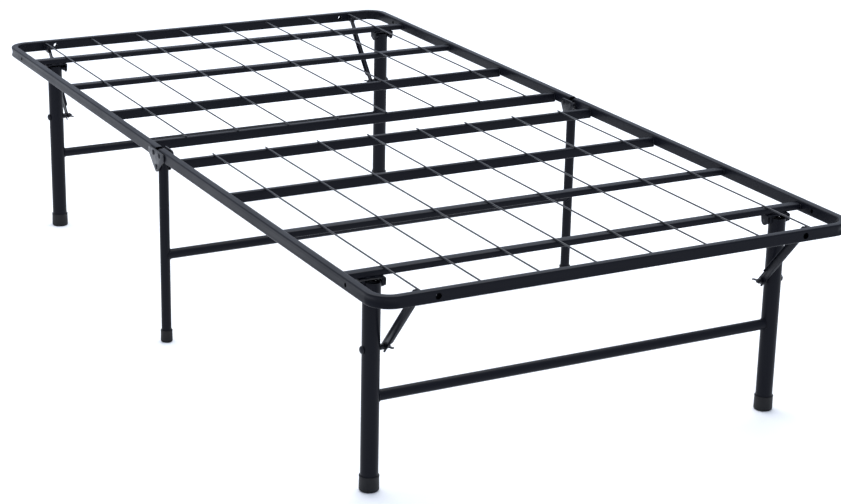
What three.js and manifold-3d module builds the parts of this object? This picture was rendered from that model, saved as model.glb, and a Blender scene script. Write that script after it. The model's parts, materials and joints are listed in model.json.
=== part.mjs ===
// A folding platform bed frame in millimetres, +Z up, with the floor at z = 0.
// +Y runs along the bed, and the fold crosses it at y = 0. The rear half lies at +Y and the front half at -Y.
import * as THREE from "three";
import { mergeVertices } from "three/addons/utils/BufferGeometryUtils.js";
import Module from "manifold-3d";

// Driving dimensions of the whole frame
const LENGTH = 1905;
const WIDTH = 970;
const DECK_HEIGHT = 408;
const GAP = 0.3; // left between pieces that touch or are welded
const LAP = 0.5; // overlap between shapes that are joined into one solid
const OVERCUT = 1; // how far a cutter reaches past the face it cuts

// Perimeter rail: rectangular tube, whose outer wall is drawn in to a groove where it is bent
const RAIL = { height: 22, depth: 15, wall: 1.5, edge: 2.5, cornerRadius: 30, foldEnd: 7.5, groove: 4 };
const BRACKET_HOLE = { radius: 4.5, outerRadius: 6, fromCentre: 371 };
const SIDE_HOLE = { radius: 4, y: 840 };

// Cross slats: the same flat tube, laid flat next to the legs and on edge next to the fold
const SLAT = { broad: 20, narrow: 12, cornerRadius: 3, wall: 1.2, first: 73, pitch: 241.5 };
const SLAT_TOP = DECK_HEIGHT - 6;
const SLAT_ON_EDGE = [true, true, false, false];

// Lengthwise wires on top of the slats
const WIRE = { radius: 1.6, count: 8, pitch: 112.8 };

// Corner legs, which hang from an off-centre pin and fold inwards under the slats
const LEG = { x: 419, y: 806, radius: 16, wall: 1.5, top: DECK_HEIGHT - 25.5 };
const LEG_PIN = { y: 798, z: DECK_HEIGHT - 31.5, radius: 3, headRadius: 6, head: 2.5 };
const CAP = { radius: 18, height: 29, floor: 3, edge: 4 };
const CROSSBAR = { radius: 10, wall: 1.2, z: 174 };

// Legs at the fold, under the side rails
const MID_LEG = { x: 472, radius: 10, wall: 1.2, top: DECK_HEIGHT - 28, pinZ: DECK_HEIGHT - 38 };
const MID_CAP = { radius: 12.2, height: 25, floor: 3, edge: 3 };
const MID_CROSSBAR_Z = 185;

// Braces from the end rail down to the corner legs
const BRACE = { width: 17, thickness: 2, topY: 917, topZ: DECK_HEIGHT - 15, boltZ: 262, slot: 7.2, overrun: 9 };
const FLANGE = { depth: 6, wall: 1.6, fromEye: 22, fromBolt: 18 }; // along both edges of a brace
const BOLT = { radius: 3, headRadius: 7.3, headHeight: 4.8, collarRadius: 5.5 };
const WING_NUT = { hubRadius: 5.5, height: 7, wingReach: 16, wingThickness: 2.4 };
const TAB_THICKNESS = 3;
const SADDLE = { earX: 21.7, wall: 2.5, near: 11, reach: 6, bottom: DECK_HEIGHT - 33, eye: 8.5 };

// Hinge at the fold: a link plate on each face of the rails, with one pin for each half
const HINGE = { y: 15, z: DECK_HEIGHT - 12, pinRadius: 3.2, endRadius: 9, plate: 3, outerPlate: 2.5, outerReach: 32 };
const HINGE_RIVET = { shoulderRadius: 5.5, headRadius: 5.5, head: 2, tailRadius: 4.2, tail: 1.5 };

const ROUND = 16; // sides of a leg tube
const ROUND_SMALL = 12; // sides of a pin, hole or thin tube

// Places worked out from the driving dimensions
const railInnerX = WIDTH / 2 - RAIL.depth;
const railInnerY = LENGTH / 2 - RAIL.depth;
const railBottom = DECK_HEIGHT - RAIL.height;
const railMiddle = DECK_HEIGHT - RAIL.height / 2;
const legSide = LEG.radius + GAP; // from the leg's centre to what touches its side
const earOuter = SADDLE.earX + SADDLE.wall; // from the leg's centre to the saddle's outer face
const braceX = LEG.x - earOuter - GAP; // the brace's face towards the leg
const linkX = MID_LEG.x - MID_LEG.radius - GAP; // the link plate's outer face

const wasm = await Module();
wasm.setup();

const steel = new THREE.MeshStandardMaterial({ color: 0x1b1d22, roughness: 0.45, metalness: 0.4 });
const plastic = new THREE.MeshStandardMaterial({ color: 0x101113, roughness: 0.65, metalness: 0 });
const zinc = new THREE.MeshStandardMaterial({ color: 0x2a2c30, roughness: 0.35, metalness: 0.8 });

// ---------------------------------------------------------------- solids

function solidOf(geometry) {
  const bare = geometry.clone();
  bare.deleteAttribute("normal");
  bare.deleteAttribute("uv");
  const merged = mergeVertices(bare, 1e-4);
  return new wasm.Manifold(
    new wasm.Mesh({
      numProp: 3,
      vertProperties: new Float32Array(merged.attributes.position.array),
      triVerts: new Uint32Array(merged.index.array),
    }),
  );
}

function geometryOf(solid) {
  const mesh = solid.getMesh();
  const geometry = new THREE.BufferGeometry();
  geometry.setAttribute("position", new THREE.BufferAttribute(mesh.vertProperties, 3));
  geometry.setIndex(new THREE.BufferAttribute(mesh.triVerts, 1));
  const faceted = geometry.toNonIndexed();
  faceted.computeVertexNormals();
  return faceted;
}

function join(...geometries) {
  return geometryOf(geometries.map(solidOf).reduce((whole, next) => whole.add(next)));
}

function cut(geometry, ...tools) {
  return geometryOf(tools.map(solidOf).reduce((whole, next) => whole.subtract(next), solidOf(geometry)));
}

// A round bar along X from x0 to x1
function barX(radius, x0, x1, y = 0, z = 0, sides = ROUND_SMALL) {
  const bar = new THREE.CylinderGeometry(radius, radius, x1 - x0, sides);
  return bar.rotateZ(-Math.PI / 2).translate((x0 + x1) / 2, y, z);
}

// A round bar along Z from z0 to z1
function barZ(radius, z0, z1, sides = ROUND) {
  const bar = new THREE.CylinderGeometry(radius, radius, z1 - z0, sides);
  return bar.rotateX(Math.PI / 2).translate(0, 0, (z0 + z1) / 2);
}

function circle(radius, sides) {
  return new THREE.Shape().setFromPoints(
    Array.from({ length: sides }, (_, i) => {
      const angle = (i * 2 * Math.PI) / sides;
      return new THREE.Vector2(radius * Math.cos(angle), radius * Math.sin(angle));
    }),
  );
}

function roundedRectangle(width, height, radius) {
  const w = width / 2;
  const h = height / 2;
  const shape = new THREE.Shape();
  shape.absarc(w - radius, h - radius, radius, 0, Math.PI / 2);
  shape.absarc(-w + radius, h - radius, radius, Math.PI / 2, Math.PI);
  shape.absarc(-w + radius, -h + radius, radius, Math.PI, Math.PI * 1.5);
  shape.absarc(w - radius, -h + radius, radius, Math.PI * 1.5, Math.PI * 2);
  shape.closePath();
  return shape;
}

function extrude(shape, depth, curveSegments = 2) {
  return new THREE.ExtrudeGeometry(shape, { depth, bevelEnabled: false, curveSegments });
}

// A round tube along Z, open at both ends
function tubeZ(radius, wall, z0, z1, sides = ROUND) {
  const shape = circle(radius, sides);
  shape.holes.push(circle(radius - wall, sides));
  return extrude(shape, z1 - z0).translate(0, 0, z0);
}

// A flat plate in the YZ plane, cut to a shape drawn as (y, z), from x0 to x0 + thickness
function plateYZ(shape, x0, thickness, curveSegments = 5) {
  const plate = extrude(shape, thickness, curveSegments);
  plate.rotateX(Math.PI / 2).rotateZ(Math.PI / 2);
  return plate.translate(x0, 0, 0);
}

// ---------------------------------------------------------------- rails

// Skins a closed run of rings, each with the same number of points
function skin(rings) {
  const positions = [];
  rings.forEach((ring, i) => {
    const next = rings[(i + 1) % rings.length];
    ring.forEach((point, j) => {
      const after = (j + 1) % ring.length;
      for (const p of [point, ring[after], next[after], point, next[after], next[j]]) positions.push(p.x, p.y, p.z);
    });
  });
  const geometry = new THREE.BufferGeometry();
  return geometry.setAttribute("position", new THREE.Float32BufferAttribute(positions, 3));
}

// Places along the inner face of one half's U: up the left side, across the end and down the right side
function railStations(steps = 6) {
  const { cornerRadius, foldEnd, groove } = RAIL;
  const cx = railInnerX - cornerRadius;
  const cy = railInnerY - cornerRadius;
  const station = (x, y, angle, pulledIn) => ({
    at: new THREE.Vector3(x, y, railMiddle),
    outwards: new THREE.Vector3(Math.cos(angle), Math.sin(angle), 0),
    pulledIn,
  });
  const stations = [station(-railInnerX, foldEnd, Math.PI, 0)];
  for (const side of [-1, 1])
    for (let i = 0; i <= steps; i += 1) {
      const angle = ((side < 0 ? 1 : 0.5) - (0.5 * i) / steps) * Math.PI;
      const x = side * cx + cornerRadius * Math.cos(angle);
      const y = cy + cornerRadius * Math.sin(angle);
      stations.push(station(x, y, angle, groove * Math.sin((i * Math.PI) / steps)));
    }
  stations.push(station(railInnerX, foldEnd, 0, 0));
  return stations;
}

// One ring of the tube, inset from its outside. The groove is deepest at mid-height of the outer wall
function railRing({ at, outwards, pulledIn }, inset) {
  const { height, depth, edge } = RAIL;
  const r = edge - inset;
  const [near, far, half] = [inset + r, depth - inset - r, height / 2 - inset - r];
  const section = [];
  const corner = (u, v, first) => {
    for (const turn of [0, 0.25, 0.5]) {
      const angle = (first + turn) * Math.PI;
      section.push([u + r * Math.cos(angle), v + r * Math.sin(angle)]);
    }
  };
  corner(far, -half, -0.5);
  for (const share of [-0.5, 0, 0.5])
    section.push([far + r - pulledIn * Math.cos((share * Math.PI) / 2) ** 2, share * (half + r)]);
  corner(far, half, 0);
  corner(near, half, 0.5);
  corner(near, -half, 1);
  return section.map(([u, v]) => at.clone().addScaledVector(outwards, u).add(new THREE.Vector3(0, 0, v)));
}

// The eye that a brace hangs from, with its rivet, welded to the end rail inside each corner
function braceTab(side) {
  const eye = 8;
  const shape = new THREE.Shape();
  shape.moveTo(railInnerY + 1, railBottom + 1);
  shape.lineTo(railInnerY + 1, SLAT_TOP); // under the outermost wire
  shape.lineTo(BRACE.topY, BRACE.topZ + eye);
  shape.absarc(BRACE.topY, BRACE.topZ, eye, Math.PI / 2, Math.PI * 1.4);
  shape.closePath();
  const inner = braceX + GAP;
  const far = inner + TAB_THICKNESS;
  const near = braceX - BRACE.thickness - GAP;
  const tab = plateYZ(shape, inner, TAB_THICKNESS);
  const rivet = barX(BOLT.radius, near - 1, inner + 1, BRACE.topY, BRACE.topZ);
  const head = barX(LEG_PIN.headRadius, near - 2.5, near, BRACE.topY, BRACE.topZ);
  const tail = barX(LEG_PIN.headRadius - 1, far - 0.5, far + 1.5, BRACE.topY, BRACE.topZ);
  const whole = join(tab, rivet, head, tail);
  return side < 0 ? mirrorX(whole) : whole;
}

function mirrorX(geometry) {
  return geometryOf(solidOf(geometry).mirror([1, 0, 0]));
}

function railGeometry() {
  const stations = railStations();
  const outside = stations.map((station) => railRing(station, 0));
  const bore = stations.map((station) => railRing(station, RAIL.wall)).reverse();
  const holes = [];
  for (const side of [-1, 1]) {
    const [low, high] = [railInnerX - OVERCUT, WIDTH / 2 + OVERCUT].map((x) => side * x).sort((a, b) => a - b);
    holes.push(barX(HINGE.pinRadius + GAP, low, high, HINGE.y, HINGE.z));
    holes.push(barX(SIDE_HOLE.radius, low, high, SIDE_HOLE.y, railMiddle));
    const { radius, outerRadius, fromCentre } = BRACKET_HOLE;
    const through = new THREE.CylinderGeometry(radius, radius, RAIL.depth + 2 * OVERCUT, ROUND_SMALL);
    holes.push(through.translate(side * fromCentre, railInnerY + RAIL.depth / 2, railMiddle));
    const access = new THREE.CylinderGeometry(outerRadius, outerRadius, 2 * (RAIL.wall + LAP), ROUND_SMALL);
    holes.push(access.translate(side * fromCentre, LENGTH / 2, railMiddle));
  }
  return join(cut(skin([...outside, ...bore]), ...holes), braceTab(-1), braceTab(1));
}

// ---------------------------------------------------------------- deck

function slatGeometry(onEdge) {
  const { broad, narrow, cornerRadius, wall } = SLAT;
  const length = 2 * (railInnerX - GAP);
  const shape = roundedRectangle(broad, narrow, cornerRadius);
  shape.holes.push(roundedRectangle(broad - 2 * wall, narrow - 2 * wall, cornerRadius - wall));
  const slat = extrude(shape, length).translate(0, 0, -length / 2);
  if (onEdge) slat.rotateZ(Math.PI / 2);
  return slat.rotateX(Math.PI / 2).rotateZ(Math.PI / 2);
}

function wireGeometry() {
  const start = SLAT.first - SLAT.narrow / 2;
  const end = railInnerY - GAP;
  const wire = new THREE.CylinderGeometry(WIRE.radius, WIRE.radius, end - start, 8);
  return wire.rotateY(Math.PI / 8).translate(0, (start + end) / 2, 0);
}

// ---------------------------------------------------------------- corner legs

// The saddle under the last slat: two ears with the leg's pin and its spacers, whose outer edges are turned in
function legBracketGeometry() {
  const { earX, wall, near, reach, bottom, eye } = SADDLE;
  const top = SLAT_TOP - SLAT.narrow - GAP;
  const inboard = LEG_PIN.y - near;
  const underSlat = SLAT.first + 3 * SLAT.pitch + SLAT.broad / 2;
  const outboard = LEG.y + reach;
  const plate = new THREE.BoxGeometry(2 * earOuter, underSlat - inboard, wall);
  plate.translate(0, (inboard + underSlat) / 2, top - wall / 2);
  const ear = new THREE.Shape();
  ear.moveTo(inboard, top);
  ear.absarc(LEG_PIN.y, LEG_PIN.z, eye, Math.PI, Math.PI * 1.75);
  ear.lineTo(outboard, bottom);
  ear.lineTo(outboard, top - wall);
  ear.lineTo(underSlat, top);
  ear.closePath();
  const parts = [plate];
  for (const side of [-1, 1]) {
    parts.push(plateYZ(ear, side > 0 ? earX : -earOuter, wall));
    const flange = new THREE.BoxGeometry(earOuter - legSide, wall, top - wall - bottom);
    const flangeX = (side * (earOuter + legSide)) / 2;
    parts.push(flange.translate(flangeX, outboard - wall / 2, (top - wall + bottom) / 2));
    const [low, high] = [legSide, earX + LAP].map((x) => side * x).sort((a, b) => a - b);
    parts.push(barX(LEG_PIN.radius + 2, low, high, LEG_PIN.y, LEG_PIN.z));
  }
  parts.push(barX(LEG_PIN.radius, -earOuter + LAP, earOuter, LEG_PIN.y, LEG_PIN.z));
  parts.push(barX(LEG_PIN.headRadius, earOuter - LAP, earOuter + LEG_PIN.head, LEG_PIN.y, LEG_PIN.z));
  return join(...parts);
}

function legGeometry() {
  const tube = tubeZ(LEG.radius, LEG.wall, CAP.floor + GAP, LEG.top);
  tube.translate(0, LEG.y, 0);
  const pinHole = barX(LEG_PIN.radius + GAP, -LEG.radius - OVERCUT, LEG.radius + OVERCUT, LEG_PIN.y, LEG_PIN.z);
  const boltHole = barX(BOLT.radius + GAP, -LEG.radius - OVERCUT, LEG.radius + OVERCUT, LEG.y, BRACE.boltZ);
  return cut(tube, pinHole, boltHole);
}

// A cup-shaped foot cap, with its lower edge rounded
function capGeometry({ radius, height, floor, edge }, tubeRadius) {
  const bore = tubeRadius + GAP;
  const profile = [new THREE.Vector2(0, 0), new THREE.Vector2(radius - edge, 0)];
  for (let i = 1; i <= 4; i += 1) {
    const angle = -Math.PI / 2 + (i * Math.PI) / 8;
    profile.push(new THREE.Vector2(radius - edge + edge * Math.cos(angle), edge + edge * Math.sin(angle)));
  }
  profile.push(new THREE.Vector2(radius, height - 1));
  profile.push(new THREE.Vector2(radius - 1, height));
  profile.push(new THREE.Vector2(bore, height));
  profile.push(new THREE.Vector2(bore, floor));
  profile.push(new THREE.Vector2(0, floor));
  return new THREE.LatheGeometry(profile, ROUND).rotateX(Math.PI / 2);
}

// A bar between two legs, coped at both ends to fit round them
function crossbarGeometry(legX, legRadius) {
  const tube = tubeZ(CROSSBAR.radius, CROSSBAR.wall, -legX, legX, ROUND_SMALL).rotateY(Math.PI / 2);
  const legs = [-1, 1].map((side) => barZ(legRadius + GAP, -20, 20).translate(side * legX, 0, 0));
  return cut(tube, ...legs);
}

// A dome-headed bolt, right-hand side: its head is outside the leg and its collar holds off the brace
function boltGeometry() {
  const { radius, headRadius, headHeight, collarRadius } = BOLT;
  const dome = [new THREE.Vector2(0, 0), new THREE.Vector2(headRadius, 0)];
  for (let i = 1; i <= 4; i += 1) {
    const angle = (i * Math.PI) / 8;
    dome.push(new THREE.Vector2(headRadius * Math.cos(angle), headHeight * Math.sin(angle)));
  }
  const head = new THREE.LatheGeometry(dome, ROUND_SMALL).rotateZ(-Math.PI / 2);
  head.translate(legSide, 0, 0);
  const tip = braceX - LEG.x - BRACE.thickness - GAP - WING_NUT.height - 3;
  const shank = barX(radius, tip, legSide + 1);
  const collar = barX(collarRadius, -earOuter, -legSide);
  return join(head, shank, collar);
}

// A wing nut, right-hand side: its flat face meets the brace at x = 0 and its wings point inwards
function wingNutGeometry() {
  const { hubRadius, height, wingReach, wingThickness } = WING_NUT;
  const hub = barX(hubRadius, -height, 0);
  const wing = new THREE.Shape();
  wing.moveTo(-1, 0);
  wing.lineTo(-height + 1, 0);
  wing.lineTo(-height - 2, wingReach - 4);
  wing.absarc(-height - 0.5, wingReach - 3.5, 3.5, Math.PI, Math.PI * 0.1, true);
  wing.closePath();
  const upper = extrude(wing, wingThickness, 5).translate(0, 0, -wingThickness / 2);
  const lower = upper.clone().rotateX(Math.PI);
  const bore = barX(BOLT.radius + GAP, -height - 10, 10);
  return cut(join(hub, upper, lower), bore);
}

// A pressed brace: an eye at the rail's tab, an open slot at the leg's bolt and a flange along each edge between them
function braceGeometry() {
  const { width, topY, topZ, boltZ, slot, overrun } = BRACE;
  const drop = new THREE.Vector2(LEG.y - topY, boltZ - topZ);
  const length = drop.length();
  const r = width / 2;
  const shape = new THREE.Shape();
  shape.absarc(0, 0, r, -Math.PI / 2, Math.PI / 2, true);
  shape.lineTo(length + overrun - 3, r);
  shape.absarc(length + overrun - 3, r - 3, 3, Math.PI / 2, 0, true);
  shape.lineTo(length + overrun, slot / 2 + 1);
  shape.lineTo(length, slot / 2);
  shape.absarc(length, 0, slot / 2, Math.PI / 2, Math.PI * 1.5);
  shape.lineTo(length + overrun, -slot / 2 - 1);
  shape.absarc(length + overrun - 3, -r + 3, 3, 0, -Math.PI / 2, true);
  shape.closePath();
  const eye = new THREE.Path().absarc(0, 0, BOLT.radius + GAP, 0, Math.PI * 2);
  shape.holes.push(eye);
  const parts = [plateYZ(shape, braceX - BRACE.thickness, BRACE.thickness)];
  for (const edge of [-1, 1]) {
    const { depth, wall, fromEye, fromBolt } = FLANGE;
    const flange = new THREE.BoxGeometry(depth, length - fromEye - fromBolt, wall);
    parts.push(flange.translate(braceX - depth / 2, (length + fromEye - fromBolt) / 2, edge * (r - wall / 2)));
  }
  return join(...parts).rotateX(drop.angle()).translate(0, topY, topZ);
}

// ---------------------------------------------------------------- fold

// A three-cornered link plate: its upper corners lie at -reach and reach, and the lowest is round the leg's pin
function linkShape(reach) {
  const { z, endRadius } = HINGE;
  const slope = Math.atan2(reach, z - MID_LEG.pinZ); // of its lower edges, from upright
  const shape = new THREE.Shape();
  shape.absarc(reach, z, endRadius, -slope, Math.PI / 2);
  shape.absarc(-reach, z, endRadius, Math.PI / 2, Math.PI + slope);
  shape.absarc(0, MID_LEG.pinZ, MID_LEG.radius, Math.PI + slope, Math.PI * 2 - slope);
  shape.closePath();
  return shape;
}

// The link, right-hand side: a plate on each face of the rails, with a pin for each half and the leg's pin
function linkGeometry() {
  const { y, z, pinRadius, plate, outerPlate, outerReach } = HINGE;
  const { shoulderRadius, headRadius, head, tailRadius, tail } = HINGE_RIVET;
  const inner = linkX - plate;
  const outer = WIDTH / 2 + GAP;
  const outside = outer + outerPlate;
  const legOuter = MID_LEG.x + MID_LEG.radius + GAP;
  const parts = [plateYZ(linkShape(y), inner, plate), plateYZ(linkShape(outerReach), outer, outerPlate)];
  for (const [pinY, pinZ] of [[y, z], [-y, z], [0, MID_LEG.pinZ]]) {
    parts.push(barX(pinRadius, linkX - LAP, outer + LAP, pinY, pinZ));
    parts.push(barX(headRadius, outside - LAP, outside + head, pinY, pinZ));
    parts.push(barX(tailRadius, inner - tail, inner + LAP, pinY, pinZ));
  }
  for (const end of [-1, 1]) parts.push(barX(shoulderRadius, linkX - LAP, railInnerX - GAP, end * y, z));
  parts.push(barX(shoulderRadius, legOuter, outer + LAP, 0, MID_LEG.pinZ));
  return join(...parts);
}

function midLegGeometry() {
  const tube = tubeZ(MID_LEG.radius, MID_LEG.wall, MID_CAP.floor + GAP, MID_LEG.top, ROUND_SMALL);
  const reach = MID_LEG.radius + OVERCUT;
  return cut(tube, barX(HINGE.pinRadius + GAP, -reach, reach, 0, MID_LEG.pinZ));
}

// ---------------------------------------------------------------- assembly

function place(group, name, geometry, material, x = 0, y = 0, z = 0) {
  const mesh = new THREE.Mesh(geometry, material);
  mesh.name = name;
  mesh.position.set(x, y, z);
  group.add(mesh);
  return mesh;
}

const shared = {
  rail: railGeometry(),
  slatFlat: slatGeometry(false),
  slatOnEdge: slatGeometry(true),
  wire: wireGeometry(),
  bracket: legBracketGeometry(),
  leg: legGeometry(),
  cap: capGeometry(CAP, LEG.radius),
  crossbar: crossbarGeometry(LEG.x, LEG.radius),
  bolt: boltGeometry(),
  wingNut: wingNutGeometry(),
  brace: braceGeometry(),
};

// One half is built as the rear one; the front one is the same half turned round
function makeHalf(end) {
  const half = new THREE.Group();
  place(half, `rail_${end}`, shared.rail, steel);
  SLAT_ON_EDGE.forEach((onEdge, i) => {
    const height = onEdge ? SLAT.broad : SLAT.narrow;
    const geometry = onEdge ? shared.slatOnEdge : shared.slatFlat;
    const y = SLAT.first + i * SLAT.pitch;
    place(half, `slat_${end}_${i + 1}`, geometry, steel, 0, y, SLAT_TOP - height / 2);
  });
  for (let i = 0; i < WIRE.count; i += 1) {
    const x = (i - (WIRE.count - 1) / 2) * WIRE.pitch;
    place(half, `wire_${end}_${i + 1}`, shared.wire, steel, x, 0, SLAT_TOP + GAP + WIRE.radius);
  }
  place(half, `crossbar_${end}`, shared.crossbar, steel, 0, LEG.y, CROSSBAR.z);
  for (const side of [-1, 1]) {
    const onRight = (side > 0) === (end === "rear");
    const corner = `${end}_${onRight ? "right" : "left"}`;
    const legX = side * LEG.x;
    place(half, `leg_bracket_${corner}`, shared.bracket, steel, legX).scale.x = side;
    place(half, `leg_${corner}`, shared.leg, steel, legX);
    place(half, `foot_cap_${corner}`, shared.cap, plastic, legX, LEG.y);
    place(half, `brace_${corner}`, shared.brace, steel).scale.x = side;
    place(half, `brace_bolt_${corner}`, shared.bolt, zinc, legX, LEG.y, BRACE.boltZ).scale.x = side;
    const nutX = side * (braceX - BRACE.thickness - GAP);
    place(half, `wing_nut_${corner}`, shared.wingNut, zinc, nutX, LEG.y, BRACE.boltZ).scale.x = side;
  }
  if (end === "front") half.rotation.z = Math.PI;
  return half;
}

function makeFold() {
  const fold = new THREE.Group();
  const link = linkGeometry();
  const leg = midLegGeometry();
  const cap = capGeometry(MID_CAP, MID_LEG.radius);
  for (const side of [-1, 1]) {
    const name = side > 0 ? "right" : "left";
    place(fold, `hinge_link_${name}`, link, zinc).scale.x = side;
    place(fold, `mid_leg_${name}`, leg, steel, side * MID_LEG.x);
    place(fold, `mid_foot_cap_${name}`, cap, plastic, side * MID_LEG.x);
  }
  place(fold, "mid_crossbar", crossbarGeometry(MID_LEG.x, MID_LEG.radius), steel, 0, 0, MID_CROSSBAR_Z);
  return fold;
}

const bedFrame = new THREE.Group();
bedFrame.add(makeHalf("rear"), makeHalf("front"), makeFold());

export default bedFrame;
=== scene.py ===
# %% [markdown]
# # A folding steel bed frame
#
# This bed frame is welded from a few kinds of steel: a bent rectangular tube that runs round the edge,
# flat tubes across it, thin wires along it, and round tubes for the legs.
# It folds in half at the middle, and every leg folds away.
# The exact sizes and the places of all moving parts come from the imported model.
# This file gives each piece the shape of its edges, bends and welds, and its finish.

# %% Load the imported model
import json
import math
import random

import bmesh
import bpy
from mathutils import Matrix, Vector


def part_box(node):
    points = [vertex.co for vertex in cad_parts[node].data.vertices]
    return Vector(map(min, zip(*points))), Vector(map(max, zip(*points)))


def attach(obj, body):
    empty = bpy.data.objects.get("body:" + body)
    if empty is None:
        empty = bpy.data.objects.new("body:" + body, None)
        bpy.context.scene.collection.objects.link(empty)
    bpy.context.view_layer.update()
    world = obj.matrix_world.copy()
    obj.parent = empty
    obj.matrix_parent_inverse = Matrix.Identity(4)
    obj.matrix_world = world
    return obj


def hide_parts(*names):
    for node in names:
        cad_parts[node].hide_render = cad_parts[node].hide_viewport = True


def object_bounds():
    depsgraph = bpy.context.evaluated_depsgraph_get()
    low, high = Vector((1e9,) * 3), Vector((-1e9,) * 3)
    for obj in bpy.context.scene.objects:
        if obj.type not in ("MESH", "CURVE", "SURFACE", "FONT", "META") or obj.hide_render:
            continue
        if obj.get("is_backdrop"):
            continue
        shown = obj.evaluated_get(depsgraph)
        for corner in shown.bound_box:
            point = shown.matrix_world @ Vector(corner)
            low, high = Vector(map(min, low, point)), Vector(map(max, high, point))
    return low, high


MM = 0.001
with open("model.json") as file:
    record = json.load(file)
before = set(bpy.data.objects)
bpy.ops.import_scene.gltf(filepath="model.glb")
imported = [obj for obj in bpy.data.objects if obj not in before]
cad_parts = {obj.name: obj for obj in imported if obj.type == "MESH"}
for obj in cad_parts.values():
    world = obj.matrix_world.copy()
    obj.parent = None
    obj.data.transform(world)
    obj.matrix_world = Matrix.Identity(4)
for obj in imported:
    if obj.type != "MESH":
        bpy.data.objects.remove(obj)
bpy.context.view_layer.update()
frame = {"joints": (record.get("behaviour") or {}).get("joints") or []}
pivot = {joint["name"]: Vector(joint["pos_m"]) for joint in frame["joints"]}
rolling = random.Random(7)  # one seeded source for every uneven thing

# %% [markdown]
# ## The camera
#
# The bed is seen from beyond its front left corner, from a little above the deck.
# A long lens keeps the far end nearly as large as the near end, as a product photographer would have it.
# The camera turns slightly clockwise about its own line of sight, which levels the deck in the frame.

# %% Camera
camera_at = Vector((-1.970, -3.847, 1.605))
look_down, roll, heading = 18.91, -1.15, -27.98  # degrees
lens_length = 92.85

camera_data = bpy.data.cameras.new("long_lens")
camera_data.lens = lens_length
camera_data.sensor_width = 36
camera = bpy.data.objects.new("camera", camera_data)
camera.location = camera_at
camera.rotation_euler = [math.radians(turn) for turn in (90 - look_down, roll, heading)]
bpy.context.scene.collection.objects.link(camera)
bpy.context.scene.camera = camera

# %% [markdown]
# ## The studio
#
# Black steel is drawn by what it reflects, so the light matters more than the colour.
# A wide soft light overhead draws the tops of the tubes, and a second one on the left draws the side rail.
# The floor is plain and pale, and runs on past every view.

# %% Floor and lights
FLOOR_SIZE = 60
bpy.context.scene.view_settings.view_transform = "Standard"

world = bpy.data.worlds.new("pale_room")
world.use_nodes = True
room = world.node_tree.nodes["Background"]
room.inputs["Color"].default_value = (0.84, 0.92, 1.08, 1)
room.inputs["Strength"].default_value = 0.95
bpy.context.scene.world = world


def soft_light(name, place, aim, width, depth, watts, tint=(1, 1, 1)):
    """A rectangular softbox that faces a point"""
    light = bpy.data.lights.new(name, "AREA")
    light.shape = "RECTANGLE"
    light.size, light.size_y = width, depth
    light.energy = watts
    light.color = tint
    lamp = bpy.data.objects.new(name, light)
    lamp.location = place
    lamp.rotation_euler = (Vector(aim) - Vector(place)).to_track_quat("-Z", "Y").to_euler()
    bpy.context.scene.collection.objects.link(lamp)


soft_light("overhead_softbox", (0.3, 0.8, 3.4), (0, 0, 0.4), 3.4, 2.6, 115)
soft_light("left_softbox", (-4.2, 0.4, 1.5), (0, 0, 0.35), 3.0, 1.8, 6, tint=(0.5, 0.7, 1.0))

# %% [markdown]
# ## Small tools for the shapes
#
# Nearly every piece of this frame is an outline carried along a line, or a profile turned round an axis.
# Both are the same job in Blender: put rings of points one after another, and skin them with faces.
# These helpers write into a `bmesh`, which is Blender's editable mesh.

# %% Rings and skins


def arc(x, y, radius, first, last, steps=6):
    """Points round part of a circle, with the angles in degrees"""
    turns = [math.radians(first + (last - first) * i / steps) for i in range(steps + 1)]
    return [(x + radius * math.cos(t), y + radius * math.sin(t)) for t in turns]


def skin(work, rings, ends="closed"):
    """Covers rings of points with faces; the ends are closed, or joined to each other"""
    rows = [[work.verts.new(point) for point in ring] for ring in rings]
    pairs = list(zip(rows, rows[1:]))
    if ends == "joined":
        pairs.append((rows[-1], rows[0]))
    else:
        work.faces.new(rows[0])
        work.faces.new(rows[-1])
    for near, far in pairs:
        for i, corner in enumerate(near):
            after = (i + 1) % len(near)
            work.faces.new((corner, near[after], far[after], far[i]))


def turn(work, profile, place=Matrix(), sides=32):
    """Turns a profile of (radius, height) in mm round the Z axis, then puts it in place"""
    rings = []
    for radius, height in profile:
        points = arc(0, 0, radius, 0, 360 - 360 / sides, sides - 1)
        rings.append([place @ Vector((x * MM, y * MM, height * MM)) for x, y in points])
    skin(work, rings)


def plate(work, outline, near, far):
    """A flat plate drawn as (y, z) that lies between two values of x"""
    skin(work, [[Vector((x, y, z)) for y, z in outline] for x in (near, far)])


def to_mesh(work, name, ease=0.0, smooth_under=30):
    """Closes the work into a mesh, with its sharp edges eased by a small chamfer"""
    bmesh.ops.recalc_face_normals(work, faces=work.faces)
    if ease:
        sharp = [e for e in work.edges if len(e.link_faces) == 2 and e.calc_face_angle() > math.radians(40)]
        bmesh.ops.bevel(work, geom=sharp, offset=ease * MM, segments=2, profile=0.5, affect="EDGES", clamp_overlap=True)
    mesh = bpy.data.meshes.new(name)
    work.to_mesh(mesh)
    work.free()
    mesh.shade_smooth()
    mesh.set_sharp_from_angle(angle=math.radians(smooth_under))
    return mesh


# %% [markdown]
# Holes are drilled the way a workshop does it: a round cutter is taken away from the finished blank.
# Blender's Boolean modifier does the subtraction, and the result is kept as a plain mesh.

# %% Drilling and trimming


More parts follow.
